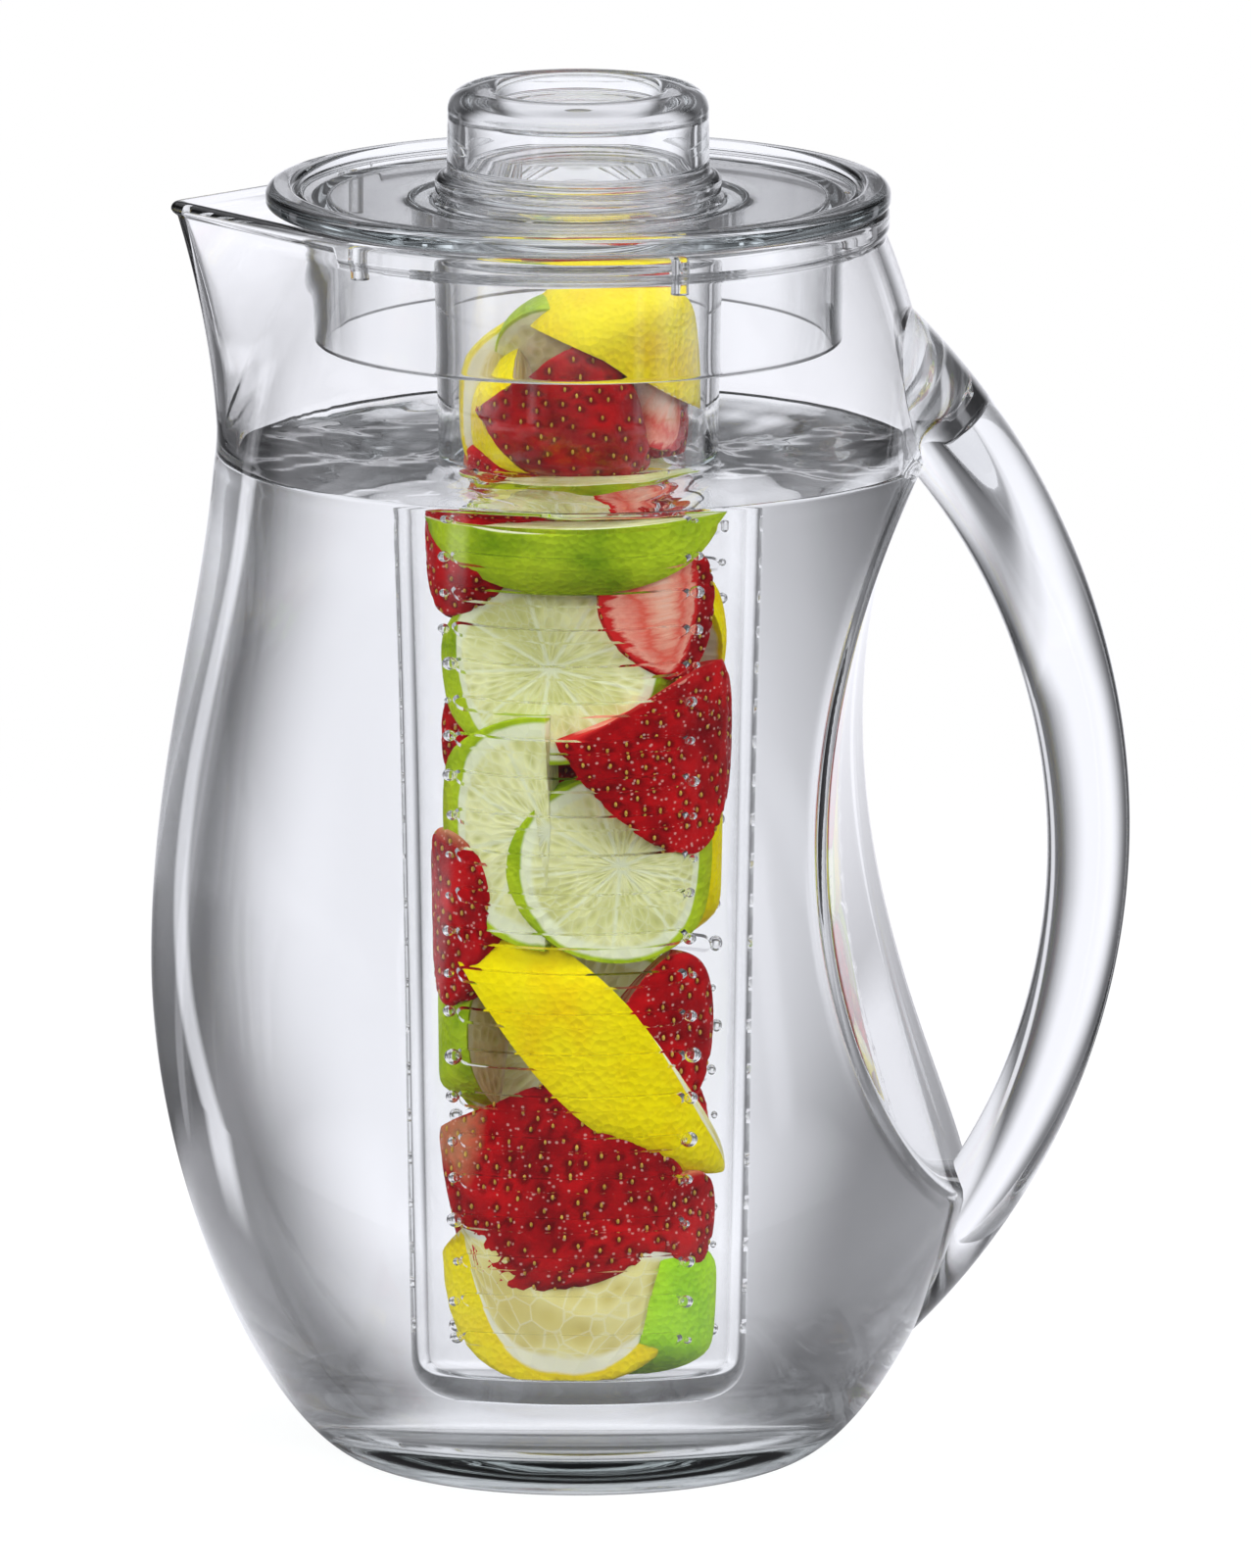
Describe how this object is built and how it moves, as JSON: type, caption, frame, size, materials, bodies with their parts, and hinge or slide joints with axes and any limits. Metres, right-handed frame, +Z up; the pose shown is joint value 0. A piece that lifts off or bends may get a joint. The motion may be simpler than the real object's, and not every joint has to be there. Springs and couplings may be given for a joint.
{
  "type": "fruit infuser pitcher",
  "caption": "Clear acrylic belly-shaped pitcher with a pouring spout, a bonded loop handle, a drop-in lid and a slotted fruit infuser tube hung from the lid by a screwed knob.",
  "frame": {"origin": "middle of the flat foot that stands on the table, on the axis of the turned body", "axes": "+Z up along the axis of the body, +X towards the handle, the spout points to -X, and the pictured side faces -Y"},
  "size_m": [0.1887, 0.1648, 0.267],
  "materials": {
    "clear_body": "clear moulded acrylic, polished",
    "clear_handle": "solid clear moulded acrylic, polished",
    "clear_lid": "clear moulded acrylic, polished",
    "clear_knob": "clear moulded acrylic, polished",
    "clear_infuser": "clear moulded acrylic, polished"
  },
  "bodies": {
    "pitcher": {"pitcher_body": "clear_body", "handle": "clear_handle"},
    "lid": {"lid": "clear_lid"},
    "knob": {"knob": "clear_knob"},
    "infuser": {"infuser_tube": "clear_infuser"}
  },
  "joints": [
    {"name": "lid_lift", "type": "slide", "parent": "pitcher", "child": "lid", "axis": [0, 0, 1], "range_m": [0, 0.235]},
    {"name": "knob_turn", "type": "hinge", "parent": "lid", "child": "knob", "pos_m": [0, 0, 0.25], "axis": [0, 0, 1], "range_deg": [0, 540]},
    {"name": "infuser_drop", "type": "slide", "parent": "lid", "child": "infuser", "axis": [0, 0, 1], "range_m": [-0.0036, 0]}
  ],
  "couplings": [
    {"joint": "infuser_drop", "follows": "knob_turn", "m_per_rad": -0.00038197}
  ]
}
